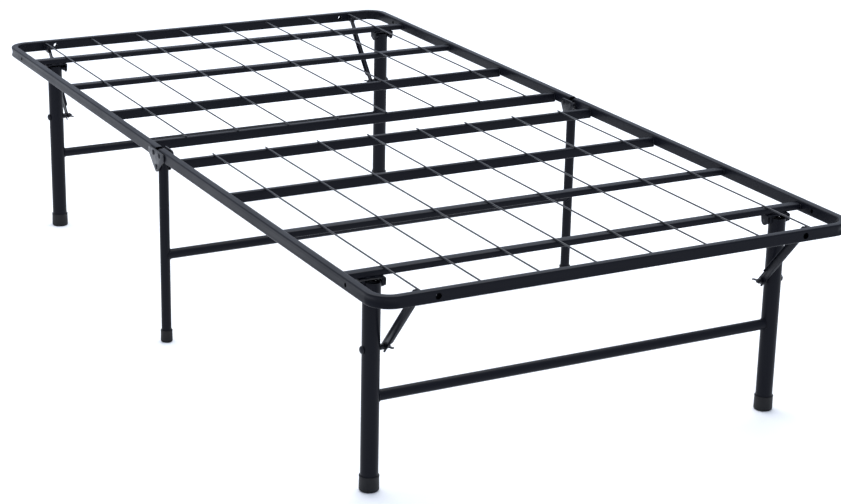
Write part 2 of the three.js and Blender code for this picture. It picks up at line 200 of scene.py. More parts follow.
def carve(blank, cutter, how="DIFFERENCE"):
    """The blank with the cutter taken away, or only where both are"""
    pair = [bpy.data.objects.new(mesh.name, mesh) for mesh in (blank, cutter)]
    for o in pair:
        bpy.context.scene.collection.objects.link(o)
    step = pair[0].modifiers.new("carve", "BOOLEAN")
    step.object, step.operation, step.solver = pair[1], how, "EXACT"
    ready = pair[0].evaluated_get(bpy.context.evaluated_depsgraph_get())
    carved = bpy.data.meshes.new_from_object(ready)
    for o in pair:
        bpy.data.objects.remove(o)
    carved.shade_smooth()
    carved.set_sharp_from_angle(angle=math.radians(30))
    return carved


ALONG_X = Matrix.Rotation(math.pi / 2, 4, "Y")  # turns a piece made along Z to lie along X
ALONG_Y = Matrix.Rotation(-math.pi / 2, 4, "X")


def drills(holes):
    """One cutter for many round holes, each (centre, direction, radius in mm, length in mm)"""
    work = bmesh.new()
    for centre, direction, radius, length in holes:
        place = Matrix.Translation(centre) @ direction
        turn(work, [(radius, -length / 2), (radius, length / 2)], place)
    return to_mesh(work, "drills")


# %% [markdown]
# ## Surface effects that several finishes share
#
# Each effect is a node group: a small machine with named knobs, built once and used by every finish that needs it.
# A group only gives masks and heights. The shader itself stays in the material.
#
# The first group is the skin of a baked coat. Powder coat flows as it bakes and sets in soft waves, like orange peel,
# with a much finer grain on top. Moulded plastic has a grain too, so it uses the same group with other values.

# %% Helpers for node groups


def new_group(name, knobs, outputs):
    """An empty shader group, with its input and output nodes"""
    tree = bpy.data.node_groups.new(name, "ShaderNodeTree")
    for label, value in knobs.items():
        socket = tree.interface.new_socket(name=label, in_out="INPUT", socket_type="NodeSocketFloat")
        socket.default_value = value
    for label in outputs:
        tree.interface.new_socket(name=label, in_out="OUTPUT", socket_type="NodeSocketFloat")
    return tree, tree.nodes.new("NodeGroupInput").outputs, tree.nodes.new("NodeGroupOutput").inputs


def wire_up(tree, socket, value):
    """Links a socket, or sets it if the value is a plain number"""
    if isinstance(value, bpy.types.NodeSocket):
        tree.links.new(value, socket)
    else:
        socket.default_value = value


def sum_of(tree, how, first, second=0.0):
    """One Math node"""
    node = tree.nodes.new("ShaderNodeMath")
    node.operation = how
    wire_up(tree, node.inputs[0], first)
    wire_up(tree, node.inputs[1], second)
    return node.outputs[0]


def noise(tree, size_mm, detail=2.0, stretch=None):
    """Soft noise whose patches are about size_mm across, fixed to the piece"""
    place = tree.nodes.new("ShaderNodeTexCoord").outputs["Object"]
    if stretch:
        mapping = tree.nodes.new("ShaderNodeMapping")
        mapping.inputs["Scale"].default_value = stretch
        tree.links.new(place, mapping.inputs["Vector"])
        place = mapping.outputs[0]
    node = tree.nodes.new("ShaderNodeTexNoise")
    node.inputs["Detail"].default_value = detail
    tree.links.new(place, node.inputs["Vector"])
    wire_up(tree, node.inputs["Scale"], sum_of(tree, "DIVIDE", 1000.0, size_mm))
    return node.outputs[0]


def spread(tree, value, low, high, out_low=0.0, out_high=1.0):
    """Stretches a range of values to another"""
    node = tree.nodes.new("ShaderNodeMapRange")
    for socket, number in zip(node.inputs, (value, low, high, out_low, out_high)):
        wire_up(tree, socket, number)
    return node.outputs[0]


# %% Skin of the coat
knobs = {"Peel Size": 2.2, "Peel Height": 0.02, "Grain Size": 0.25, "Grain Height": 0.004}
coat_skin, knob, out = new_group("coat_skin", knobs, ["Height", "Grain"])
peel = sum_of(coat_skin, "MULTIPLY", noise(coat_skin, knob["Peel Size"]), knob["Peel Height"])
fine = noise(coat_skin, knob["Grain Size"], detail=1.0)
grain = sum_of(coat_skin, "MULTIPLY", fine, knob["Grain Height"])
coat_skin.links.new(sum_of(coat_skin, "ADD", peel, grain), out["Height"])
coat_skin.links.new(fine, out["Grain"])
print("coat_skin has", len(coat_skin.nodes), "nodes")

# %% [markdown]
# Liquid or melted coat pulls back from a sharp edge, so it is thinner there. Every edge is painted a lighter colour:
# partly for that thinner coat, and partly as a painted highlight along the edge.
# The Bevel node gives the normal that a rounded edge would have.
# Where that differs from the real normal there is an edge, and the difference is the mask.

# %% Thin coat and painted highlight on edges
coat_and_highlight_edge_group, knob, out = new_group("thin_coat_and_painted_highlight_edges", {"Width": 0.8, "Strength": 1.0}, ["Mask"])
rounded = coat_and_highlight_edge_group.nodes.new("ShaderNodeBevel")
rounded.samples = 4
wire_up(coat_and_highlight_edge_group, rounded.inputs["Radius"], sum_of(coat_and_highlight_edge_group, "MULTIPLY", knob["Width"], MM))
alike = coat_and_highlight_edge_group.nodes.new("ShaderNodeVectorMath")
alike.operation = "DOT_PRODUCT"
coat_and_highlight_edge_group.links.new(rounded.outputs[0], alike.inputs[0])
coat_and_highlight_edge_group.links.new(coat_and_highlight_edge_group.nodes.new("ShaderNodeNewGeometry").outputs["Normal"], alike.inputs[1])
# Painted highlight: this mask rises along every edge, standing partly for thinner coat and partly for an edge
# highlight.
edge = spread(coat_and_highlight_edge_group, alike.outputs["Value"], 0.99, 0.80)
broken = spread(coat_and_highlight_edge_group, noise(coat_and_highlight_edge_group, 14.0, 4.0), 0.35, 0.65, 0.45, 1.0)
edge = sum_of(coat_and_highlight_edge_group, "MULTIPLY", edge, broken)
coat_and_highlight_edge_group.links.new(sum_of(coat_and_highlight_edge_group, "MULTIPLY", edge, knob["Strength"]), out["Mask"])
print("thin_coat_and_painted_highlight_edges has", len(coat_and_highlight_edge_group.nodes), "nodes")

# %% [markdown]
# No coat is equally glossy all over. Handling and packing leave broad, barely visible patches,
# which show when a long highlight runs across them.

# %% Uneven gloss
knobs = {"Roughness": 0.4, "Change": 0.06, "Patch Size": 90.0}
gloss, knob, out = new_group("uneven_gloss", knobs, ["Roughness"])
patches = spread(gloss, noise(gloss, knob["Patch Size"], 3.0), 0.3, 0.7, -1.0, 1.0)
swing = sum_of(gloss, "MULTIPLY", patches, knob["Change"])
gloss.links.new(sum_of(gloss, "ADD", swing, knob["Roughness"]), out["Roughness"])
print("uneven_gloss has", len(gloss.nodes), "nodes")

# %% [markdown]
# A little dust settles on faces that look up. The mask uses the piece's own upward direction,
# so it stays on the same faces when the bed is folded.

# %% Settled dust
dust, knob, out = new_group("settled_dust", {"Amount": 0.3, "Patch Size": 25.0}, ["Mask"])
facing = dust.nodes.new("ShaderNodeSeparateXYZ")
dust.links.new(dust.nodes.new("ShaderNodeTexCoord").outputs["Normal"], facing.inputs[0])
upward = spread(dust, facing.outputs["Z"], 0.55, 1.0)
cloudy = spread(dust, noise(dust, knob["Patch Size"], 5.0), 0.35, 0.75)
specks = spread(dust, noise(dust, 0.9, 1.0), 0.45, 0.7, 0.4, 1.0)
settled = sum_of(dust, "MULTIPLY", sum_of(dust, "MULTIPLY", upward, cloudy), specks)
dust.links.new(sum_of(dust, "MULTIPLY", settled, knob["Amount"]), out["Mask"])
print("settled_dust has", len(dust.nodes), "nodes")

# %% [markdown]
# ## The finishes
#
# All the steel is black, but not all black is the same.
# The frame has a satin powder coat with a cool tint. The wires were coated in the same batch,
# yet their drawn surface shows streaks. The bolts and nuts are plated black and look more like metal.
# The foot caps are moulded plastic, duller than any of them.
# One function wires the shared groups round a Principled shader, and each finish sets its own values on it.

# %% One function for every finish


def use(tree, group, **knob_values):
    """Places a group in a material with its own values"""
    node = tree.nodes.new("ShaderNodeGroup")
    node.node_tree = group
    for label, value in knob_values.items():
        node.inputs[label.replace("_", " ")].default_value = value
    return node.outputs


def mix(tree, mask, below, above):
    """Mixes two colours by a mask"""
    node = tree.nodes.new("ShaderNodeMix")
    node.data_type = "RGBA"
    for socket, value in zip((node.inputs[0], node.inputs[6], node.inputs[7]), (mask, below, above)):
        wire_up(tree, socket, (*value, 1) if isinstance(value, tuple) else value)
    return node.outputs[2]


def make_finish(name, colour, thin_coat_and_highlight_colour, dust_colour, skin_knobs, edge_highlight_knobs, gloss_knobs, dust_knobs, streak=0.0):
    """A black finish: its colour shifts by grain, is painted lighter at edges for thin coat and a highlight, and takes
    dust on top
    """
    material = bpy.data.materials.new(name)
    material.use_nodes = True
    tree = material.node_tree
    shader = tree.nodes["Principled BSDF"]
    surface = use(tree, coat_skin, **skin_knobs)
    darker = tuple(channel * 0.78 for channel in colour)
    shade = mix(tree, surface["Grain"], darker, tuple(channel * 1.2 for channel in colour))
    # Painted highlight: edges are mixed towards a lighter colour, partly for thinner coat and partly as a highlight
    # painted on every edge.
    shade = mix(tree, use(tree, coat_and_highlight_edge_group, **edge_highlight_knobs)["Mask"], shade, thin_coat_and_highlight_colour)
    shade = mix(tree, use(tree, dust, **dust_knobs)["Mask"], shade, dust_colour)
    tree.links.new(shade, shader.inputs["Base Color"])
    height = surface["Height"]
    if streak:
        lines = noise(tree, 0.6, 2.0, stretch=(1, 0.02, 1))
        height = sum_of(tree, "ADD", height, sum_of(tree, "MULTIPLY", lines, streak))
    bump = tree.nodes.new("ShaderNodeBump")
    bump.inputs["Distance"].default_value = MM
    tree.links.new(height, bump.inputs["Height"])
    tree.links.new(bump.outputs[0], shader.inputs["Normal"])
    tree.links.new(use(tree, gloss, **gloss_knobs)["Roughness"], shader.inputs["Roughness"])
    return material, shader.inputs


# %% [markdown]
# The powder coat's highlight is what gives the rails their blue-grey tops, so its base stays nearly black.

# %% Powder coat on the frame
frame_coat, dial = make_finish(
    "satin_powder_coat",
    colour=(0.0052, 0.0057, 0.0088),
    thin_coat_and_highlight_colour=(0.024, 0.025, 0.030),
    dust_colour=(0.06, 0.06, 0.062),
    skin_knobs={"Peel_Size": 2.4, "Peel_Height": 0.03, "Grain_Size": 0.3, "Grain_Height": 0.006},
    edge_highlight_knobs={"Width": 0.8, "Strength": 0.7},
    gloss_knobs={"Roughness": 0.35, "Change": 0.05, "Patch_Size": 110.0},
    dust_knobs={"Amount": 0.10, "Patch_Size": 30.0},
)
dial["Specular IOR Level"].default_value = 0.09
print("made", frame_coat.name)

# %% Coat on the wires
wire_coat, dial = make_finish(
    "coated_drawn_wire",
    colour=(0.022, 0.023, 0.027),
    thin_coat_and_highlight_colour=(0.08, 0.08, 0.085),
    dust_colour=(0.14, 0.14, 0.14),
    skin_knobs={"Peel_Size": 1.2, "Peel_Height": 0.02, "Grain_Size": 0.2, "Grain_Height": 0.006},
    edge_highlight_knobs={"Width": 0.3, "Strength": 0.4},
    gloss_knobs={"Roughness": 0.34, "Change": 0.06, "Patch_Size": 60.0},
    dust_knobs={"Amount": 0.12, "Patch_Size": 20.0},
    streak=0.012,
)
dial["Specular IOR Level"].default_value = 0.3
print("made", wire_coat.name)

# %% Black plating on the bolts, nuts, pins and hinge plates
hardware, dial = make_finish(
    "black_zinc_plate",
    colour=(0.012, 0.0125, 0.016),
    thin_coat_and_highlight_colour=(0.09, 0.09, 0.09),
    dust_colour=(0.10, 0.10, 0.10),
    skin_knobs={"Peel_Size": 0.9, "Peel_Height": 0.006, "Grain_Size": 0.12, "Grain_Height": 0.004},
    edge_highlight_knobs={"Width": 0.35, "Strength": 0.8},
    gloss_knobs={"Roughness": 0.33, "Change": 0.08, "Patch_Size": 8.0},
    dust_knobs={"Amount": 0.06, "Patch_Size": 8.0},
)
dial["Metallic"].default_value = 0.4
dial["Specular IOR Level"].default_value = 0.25
print("made", hardware.name)

# %% Moulded plastic of the foot caps
cap_plastic, dial = make_finish(
    "moulded_cap_plastic",
    colour=(0.0055, 0.0055, 0.0065),
    thin_coat_and_highlight_colour=(0.018, 0.018, 0.02),
    dust_colour=(0.12, 0.115, 0.11),
    skin_knobs={"Peel_Size": 0.7, "Peel_Height": 0.05, "Grain_Size": 0.2, "Grain_Height": 0.02},
    edge_highlight_knobs={"Width": 0.6, "Strength": 0.6},
    gloss_knobs={"Roughness": 0.58, "Change": 0.05, "Patch_Size": 25.0},
    dust_knobs={"Amount": 0.25, "Patch_Size": 12.0},
)
dial["Specular IOR Level"].default_value = 0.25
print("made", cap_plastic.name)

# %% [markdown]
# The floor is seamless paper: almost white, with a very fine tooth and no gloss.

# %% Floor
paper = bpy.data.materials.new("seamless_paper")
paper.use_nodes = True
shader = paper.node_tree.nodes["Principled BSDF"]
shader.inputs["Roughness"].default_value = 0.9
shader.inputs["Specular IOR Level"].default_value = 0.1
tooth = mix(paper.node_tree, noise(paper.node_tree, 4.0, 3.0), (0.93, 0.93, 0.93), (0.96, 0.96, 0.96))
paper.node_tree.links.new(tooth, shader.inputs["Base Color"])

work = bmesh.new()
bmesh.ops.create_grid(work, x_segments=1, y_segments=1, size=FLOOR_SIZE / 2)
floor = bpy.data.objects.new("floor", to_mesh(work, "floor"))
floor.data.materials.append(paper)
bpy.context.scene.collection.objects.link(floor)
floor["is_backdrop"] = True
print("the floor is", FLOOR_SIZE, "m across")

# %% [markdown]
# ## Putting pieces in place
#
# The two halves of the bed are the same half, built once. The front one is turned half way round.
# Within a half, the left corner is the right corner mirrored.
# So each shape is modelled once, at the rear right, and `fit` copies it to its place,
# names the body it moves with and hides the plain model piece that it stands for.

# %% Where each copy goes
FINISHES = {"frame_coat": frame_coat, "wire_coat": wire_coat, "hardware": hardware, "cap_plastic": cap_plastic}
HALF_TURN = {"rear": Matrix.Identity(4), "front": Matrix.Rotation(math.pi, 4, "Z")}


def mirrored(side):
    """Leaves a shape as it is, or mirrors it to the other side"""
    return Matrix.Diagonal((side, 1, 1, 1))


CORNERS = []
for end in ("rear", "front"):
    for side in (-1, 1):
        hand = "right" if (side > 0) == (end == "rear") else "left"
        CORNERS.append((end, f"{end}_{hand}", HALF_TURN[end] @ mirrored(side)))


def fit(name, mesh, body, slot, place=Matrix(), stands_for=()):
    """Adds a copy of a shape to the bed"""
    copy = mesh.copy()
    copy.name = name
    copy.transform(place)
    if place.determinant() < 0:
        copy.flip_normals()
    copy.materials.clear()
    copy.materials.append(FINISHES[slot])
    piece = bpy.data.objects.new(name, copy)
    bpy.context.scene.collection.objects.link(piece)
    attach(piece, body)
    if stands_for:
        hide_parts(*stands_for)
    return piece


print("corners:", [corner for _, corner, _ in CORNERS])

# %% [markdown]
# ## The rails
#
# The rail of each half is one rectangular steel tube, bent into a U.
# In the bends the outer wall was drawn inwards, which leaves a groove there that fades out towards the straights.
# So the section is not the same everywhere: each ring of points is drawn with its own depth of groove
# and then put in its place round the U. A curve with a bevel object could not change its section on the way.
# The skin runs along the outside, over the open end at the fold, back along the bore and over the other end.

# %% Section of the rail, in mm, x outwards from the inner face and y up
RAIL_HEIGHT, RAIL_DEPTH, RAIL_WALL, RAIL_EDGE, GROOVE = 22, 15, 1.5, 2.5, 4
FACE_POINTS = 12


def rail_section(inset, groove):
    """The tube's outline, drawn smaller by the inset and with its outer wall drawn in by the groove"""
    r = RAIL_EDGE - inset
    far, low, high = RAIL_DEPTH - RAIL_EDGE, RAIL_EDGE, RAIL_HEIGHT - RAIL_EDGE
    outline = arc(far, low, r, -90, 0)
    for share in (i / FACE_POINTS for i in range(1, FACE_POINTS)):
        drawn_in = groove * math.sin(math.pi * share) ** 2
        outline.append((far + r - drawn_in, low + (high - low) * share))
    outline += arc(far, high, r, 0, 90)
    return outline + arc(RAIL_EDGE, high, r, 90, 180) + arc(RAIL_EDGE, low, r, 180, 270)


print("the rail's section has", len(rail_section(0, GROOVE)), "points")

# %% The path of one half and the swept rail
CORNER_ROUND = 30  # mm, inside the bend
FOLD_END = 7.5  # mm from the middle of the fold
BEND_STEPS = 18

rail_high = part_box("rail_rear")[1]
deck_top = rail_high.z
rail_bottom = deck_top - RAIL_HEIGHT * MM
rail_middle = deck_top - RAIL_HEIGHT * MM / 2
inner_x = rail_high.x - RAIL_DEPTH * MM
inner_y = rail_high.y - RAIL_DEPTH * MM


def rail_path():
    """Points along the tube's inner face, with the outward direction and the depth of the groove at each"""
    stations = [(Vector((-inner_x, FOLD_END * MM, rail_bottom)), Vector((-1, 0, 0)), 0)]
    for side, first in ((-1, 180), (1, 90)):
        centre = Vector((side * (inner_x - CORNER_ROUND * MM), inner_y - CORNER_ROUND * MM, rail_bottom))
        for i, (x, y) in enumerate(arc(0, 0, 1, first, first - 90, BEND_STEPS)):
            groove = GROOVE * math.sin(math.pi * i / BEND_STEPS)
            stations.append((centre + Vector((x, y, 0)) * CORNER_ROUND * MM, Vector((x, y, 0)), groove))
    stations.append((Vector((inner_x, FOLD_END * MM, rail_bottom)), Vector((1, 0, 0)), 0))
    return stations


def rail_rings(inset):
    """The rings of the tube's outside, or of its bore"""
    rings = []
    for at, out, groove in rail_path():
        rings.append([at + out * x * MM + Vector((0, 0, y * MM)) for x, y in rail_section(inset, groove)])
    return rings


work = bmesh.new()
skin(work, rail_rings(0) + rail_rings(RAIL_WALL)[::-1], ends="joined")
rail_blank = to_mesh(work, "rail")
print("the rail blank has", len(rail_blank.polygons), "faces")

# %% [markdown]
# Holes go through both walls of the tube: one in each side rail, and one at the fold for the hinge pin.
# Near each end of the end rail there is a bolt hole in the inner wall,
# with a wider one in front of it in the outer wall, so that a tool can reach the bolt.

# %% Holes in the rail
END_HOLE, ACCESS_HOLE, SIDE_HOLE, PIN_HOLE = 4.5, 6.0, 4.0, 3.5  # radii in mm
END_HOLE_X, SIDE_HOLE_Y = 0.371, 0.840
ONE_WALL, BOTH_WALLS = 5, RAIL_DEPTH + 2  # lengths of the cutters in mm
tube_mid = RAIL_DEPTH * MM / 2
outer_wall = inner_y + (RAIL_DEPTH - RAIL_WALL / 2) * MM

holes = []
for side in (-1, 1):
    holes.append((Vector((side * END_HOLE_X, inner_y + RAIL_WALL * MM / 2, rail_middle)), ALONG_Y, END_HOLE, ONE_WALL))
    holes.append((Vector((side * END_HOLE_X, outer_wall, rail_middle)), ALONG_Y, ACCESS_HOLE, ONE_WALL))
    holes.append((Vector((side * (inner_x + tube_mid), SIDE_HOLE_Y, rail_middle)), ALONG_X, SIDE_HOLE, BOTH_WALLS))
    at_hinge = Vector((side * (inner_x + tube_mid), pivot["fold_rear"].y, pivot["fold_rear"].z))
    holes.append((at_hinge, ALONG_X, PIN_HOLE, BOTH_WALLS))
rail = carve(rail_blank, drills(holes))
for end in ("rear", "front"):
    fit(f"end_rail_{end}", rail, f"{end}_half", "frame_coat", HALF_TURN[end], [f"rail_{end}"])
print("the rail has", len(rail.polygons), "faces")

# %% [markdown]
# ## Slats
#
# The slats are one flat tube cut to length and welded between the side rails.
# The two next to the legs lie flat and the two next to the fold stand on edge, where more stiffness is wanted.
# A tube is skinned once round its wall: along the outside, over the cut end,
# back along the bore and over the other end.
# The cut edges have a hair's chamfer, so they catch the light.

# %% A tube of any outline


def round_outline(radius, sides=48):
    """A circle, drawn smaller by the inset asked for"""
    return lambda inset: arc(0, 0, radius - inset, 0, 360 - 360 / sides, sides - 1)


def flat_outline(width, height, corner, steps=6):
    """A rectangle with round corners, drawn smaller by the inset asked for"""

    def at(inset):
        x, y, r = width / 2 - corner, height / 2 - corner, max(corner - inset, 0.3)
        x, y = x + corner - inset - r, y + corner - inset - r
        points = arc(x, y, r, 0, 90, steps) + arc(-x, y, r, 90, 180, steps)
        return points + arc(-x, -y, r, 180, 270, steps) + arc(x, -y, r, 270, 360, steps)

    return at


def tube(work, outline, wall, start, end, place, cope=0.0, ease=0.3):
    """A hollow tube along Z, all in mm; cope is the radius of the legs that its ends fit round"""
    first = [(wall, ease), (wall - ease, 0), (ease, 0), (0, ease)]
    last = [(inset, -along) for inset, along in reversed(first)]
    rings = []
    for sign, edge, steps in ((-1, start, first), (1, end, last)):
        for inset, along in steps:
            ring = []
            for x, y in outline(inset):
                mouth = cope - math.sqrt(cope**2 - y**2) if cope else 0
                ring.append(place @ (Vector((x, y, edge + along + sign * mouth)) * MM))
            rings.append(ring)
    skin(work, rings, ends="joined")


# %% The slats of both halves
SLAT_BROAD, SLAT_NARROW, SLAT_CORNER, SLAT_WALL = 20, 12, 3, 1.2
SLATS = [1, 2, 3, 4]
slat_y = {}

for number in SLATS:
    low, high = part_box(f"slat_rear_{number}")
    slat_y[number] = (low.y + high.y) / 2
    on_edge = high.z - low.z > high.y - low.y
    upright = Matrix.Rotation(math.pi / 2, 4, "Z") if on_edge else Matrix()
    place = Matrix.Translation((0, slat_y[number], (low.z + high.z) / 2)) @ ALONG_X @ upright
    work = bmesh.new()
    outline = flat_outline(SLAT_NARROW, SLAT_BROAD, SLAT_CORNER)
    tube(work, outline, SLAT_WALL, low.x / MM, high.x / MM, place)
    slat = to_mesh(work, "slat")
    for end in HALF_TURN:
        name = f"cross_slat_{end}_{number}"
        fit(name, slat, f"{end}_half", "frame_coat", HALF_TURN[end], [f"slat_{end}_{number}"])
slat_top = high.z
print("slats at", [round(y, 4) for y in slat_y.values()], "m from the fold")

# %% [markdown]
# ## Wires
#
# Eight thin rods lie along each half and keep the mattress from sagging between the slats.
# They are drawn wire, cropped at the ends, so the crop leaves a slightly rounded tip.
# A rod is a profile turned round its axis: a flat tip, a small round and the long plain side.

# %% The wires of both halves
WIRE_RADIUS, TIP_ROUND = 1.6, 0.5
WIRES = range(1, 9)
tip = arc(WIRE_RADIUS - TIP_ROUND, TIP_ROUND, TIP_ROUND, -90, 0, 3)

for number in WIRES:
    low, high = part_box(f"wire_rear_{number}")
    length = (high.y - low.y) / MM
    profile = tip + [(radius, length - height) for radius, height in reversed(tip)]
    place = Matrix.Translation(((low.x + high.x) / 2, low.y, (low.z + high.z) / 2)) @ ALONG_Y
    work = bmesh.new()
    turn(work, profile, place, sides=16)
    wire = to_mesh(work, "wire")
    for end in HALF_TURN:
        name = f"long_wire_{end}_{number}"
        fit(name, wire, f"{end}_half", "wire_coat", HALF_TURN[end], [f"wire_{end}_{number}"])
wire_x = [sum(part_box(f"wire_rear_{number}")[i].x for i in (0, 1)) / 2 for number in WIRES]
wire_middle = (low.z + high.z) / 2
print("wires at", [round(x, 4) for x in wire_x])

# %% [markdown]
# ## Welds
#
# A weld by hand is a row of overlapping drops, each frozen before the next one.
# The bead follows the joint, and its thickness rises and falls with the drops.
# The coat covers it afterwards, which is why welds here are black and soft.
# Wires are welded by pressing and a pulse of current: that leaves a small squeezed nugget under each crossing.

# %% A bead of weld along a line of points
DROP_PITCH = 1.5 * MM


def bead(work, path, radius, closed=False):
    """A rippled bead, radius in mm, whose points follow the joint"""
    rings, run = [], 0.0
    count = len(path)
    for i, point in enumerate(path):
        before = path[i - 1] if i or closed else point
        after = path[(i + 1) % count] if i + 1 < count or closed else point
        run += (point - before).length if i else 0
        ahead = (after - before).normalized()
        side = ahead.cross(Vector((0.3, 0.5, 0.81))).normalized()
        up = ahead.cross(side)
        drop = 0.84 + 0.16 * abs(math.sin(math.pi * run / DROP_PITCH)) + rolling.uniform(-0.04, 0.04)
        if not closed and i in (0, count - 1):
            drop *= 0.45
        size = radius * drop * MM
        rings.append([point + (side * x + up * y) * size for x, y in arc(0, 0, 1, 0, 315, 7)])
    skin(work, rings, ends="joined" if closed else "closed")


def line(first, last, step=0.5 * MM):
    """Points from one place to another"""
    first, last = Vector(first), Vector(last)
    count = max(2, round((last - first).length / step))
    return [first.lerp(last, i / count) for i in range(count + 1)]


# %% Welds at the ends of the slats and along the wires
SLAT_BEAD, NUGGET = 1.5, (2.6, 3.0, 0.9)  # mm


def nugget(work, centre):
    """A squeezed drop of metal under a crossing"""
    sizes = [size * rolling.uniform(0.85, 1.1) * MM for size in NUGGET]
    place = Matrix.Translation(centre) @ Matrix.Diagonal((*sizes, 1))
    rings = bmesh.ops.create_uvsphere(work, u_segments=12, v_segments=6, radius=1, matrix=place)
    for corner in rings["verts"]:
        corner.co += (corner.co - centre) * rolling.uniform(-0.08, 0.08)


end_welds, wire_welds = bmesh.new(), bmesh.new()
for number in SLATS:
    low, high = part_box(f"slat_rear_{number}")
    reach = SLAT_CORNER * MM
    for side in (-1, 1):
        at_x = side * (inner_x - 0.6 * MM)
        for y in (low.y - 0.3 * MM, high.y + 0.3 * MM):
            bead(end_welds, line((at_x, y, low.z + reach / 2), (at_x, y, high.z - reach / 2)), SLAT_BEAD)
    for x in wire_x:
        nugget(wire_welds, Vector((x, slat_y[number], slat_top + 0.1 * MM)))
for x in wire_x:
    nugget(wire_welds, Vector((x, inner_y - 0.8 * MM, wire_middle - 0.4 * MM)))
end_welds, wire_welds = to_mesh(end_welds, "end_welds"), to_mesh(wire_welds, "wire_welds")
for end in HALF_TURN:
    fit(f"slat_welds_{end}", end_welds, f"{end}_half", "frame_coat", HALF_TURN[end])
    fit(f"wire_welds_{end}", wire_welds, f"{end}_half", "wire_coat", HALF_TURN[end])
print("weld faces:", len(end_welds.polygons), "on slats,", len(wire_welds.polygons), "on wires")

# %% [markdown]
# ## Corner legs
#
# Each leg is a round tube, cut square, with two cross holes: one for the pin it folds on and one for the brace bolt.
# The tube is turned as a hollow ring and then drilled through.

# %% Corner leg tubes
LEG_RADIUS, LEG_WALL = 16, 1.5
PIN_HOLE_IN_LEG, BOLT_HOLE = 3.3, 3.3
low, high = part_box("leg_rear_right")
leg_x, leg_y = (low.x + high.x) / 2, (low.y + high.y) / 2
leg_pin, bolt = pivot["rear_legs"], pivot["wing_nut_rear_right"]

work = bmesh.new()
at_leg_axis = Matrix.Translation((leg_x, leg_y, 0))
tube(work, round_outline(LEG_RADIUS), LEG_WALL, low.z / MM, high.z / MM, at_leg_axis, ease=0.4)
through = 2 * LEG_RADIUS + 4
holes = [
    (Vector((leg_x, leg_pin.y, leg_pin.z)), ALONG_X, PIN_HOLE_IN_LEG, through),
    (Vector((leg_x, leg_y, bolt.z)), ALONG_X, BOLT_HOLE, through),
]
leg = carve(to_mesh(work, "leg"), drills(holes))
for end, corner, place in CORNERS:
    fit(f"leg_tube_{corner}", leg, f"{end}_leg_frame", "frame_coat", place, [f"leg_{corner}"])
print("a leg tube has", len(leg.polygons), "faces")

# %% [markdown]
# ## Foot caps
#
# The caps are moulded cups pushed on from below. They have a rounded lower edge, a slight draft so that they leave
# the mould, a soft rim at the mouth and a shallow ring mark under the foot. All of that is one turned profile.

# %% Foot caps of both sizes


def cap_profile(radius, height, bore, floor, edge):
    """Half of a cup, from under its middle, up the outside and down inside"""
    draft = 0.35
    sole = [(1, 0.6), (radius * 0.45, 0.6), (radius * 0.45 + 0.6, 0), (radius - edge - 0.5, 0)]
    side = arc(radius - edge, edge, edge, -90, 0, 8)
    rim = [(radius - draft, height - 3), (radius - draft + 0.3, height - 2.4)]
    rim += arc(radius - draft - 0.5, height - 0.8, 0.8, 0, 90, 4)
    return sole + side + rim + [(bore + 0.2, height), (bore, height - 0.4), (bore, floor), (1, floor)]


CAPS = [("corner", 18, 29, 16.3, 3, 4), ("middle", 12.2, 25, 10.3, 3, 3)]
caps = {}
for kind, *sizes in CAPS:
    work = bmesh.new()
    turn(work, cap_profile(*sizes), sides=48)
    caps[kind] = to_mesh(work, f"{kind}_cap")
for end, corner, place in CORNERS:
    at_leg = place @ Matrix.Translation((leg_x, leg_y, 0))
    fit(f"moulded_cap_{corner}", caps["corner"], f"{end}_leg_frame", "cap_plastic", at_leg, [f"foot_cap_{corner}"])
print("caps:", {kind: len(mesh.polygons) for kind, mesh in caps.items()}, "faces")

# %% [markdown]
# ## Crossbars
#
# A thinner tube joins the two legs of a pair. Its ends are coped, which means cut to a fish mouth
# that fits round the leg, and welded all the way round.
# The fish mouth needs no cutter here: each point of the end ring is moved until it meets the round leg.
# The same curve is then the path of the weld.

# %% Crossbars and their ring welds
BAR_RADIUS, BAR_WALL, RING_BEAD, FIT_GAP = 10, 1.2, 1.3, 0.3


def crossbar(x, leg_radius):
    """A coped tube between legs at -x and x, and the welds at its two ends"""
    cope = leg_radius + FIT_GAP
    tube_work, weld_work = bmesh.new(), bmesh.new()
    half = x / MM - cope
    tube(tube_work, round_outline(BAR_RADIUS), BAR_WALL, -half, half, ALONG_X, cope)
    for side in (-1, 1):
        path = []
        for y, z in arc(0, 0, BAR_RADIUS, 0, 354, 59):
            reach = x - math.sqrt(cope**2 - y**2) * MM
            path.append(Vector((side * (reach - 0.3 * MM), y * MM * 1.02, z * MM * 1.02)))
        bead(weld_work, path, RING_BEAD, closed=True)
    return to_mesh(tube_work, "crossbar"), to_mesh(weld_work, "ring_welds")


low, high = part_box("crossbar_rear")
bar, ring_welds = crossbar(leg_x, LEG_RADIUS)
at_bar = Matrix.Translation((0, leg_y, (low.z + high.z) / 2))
for end in HALF_TURN:
    body, place = f"{end}_leg_frame", HALF_TURN[end] @ at_bar
    fit(f"crossbar_tube_{end}", bar, body, "frame_coat", place, [f"crossbar_{end}"])
    fit(f"crossbar_welds_{end}", ring_welds, body, "frame_coat", place)
print("the crossbar is", round((high.x - low.x), 3), "m long")

# %% [markdown]
# ## Leg brackets
#
# A leg hangs from a saddle of folded plate, welded under the last slat. Its two ears hold the pin,
# and their outer edges are turned in towards the leg, which makes them stiff.
# The folded shape is a U with round bends, carried along the bed.
# Then it is trimmed to the ears' outline, just as the flat blank would have been before folding.

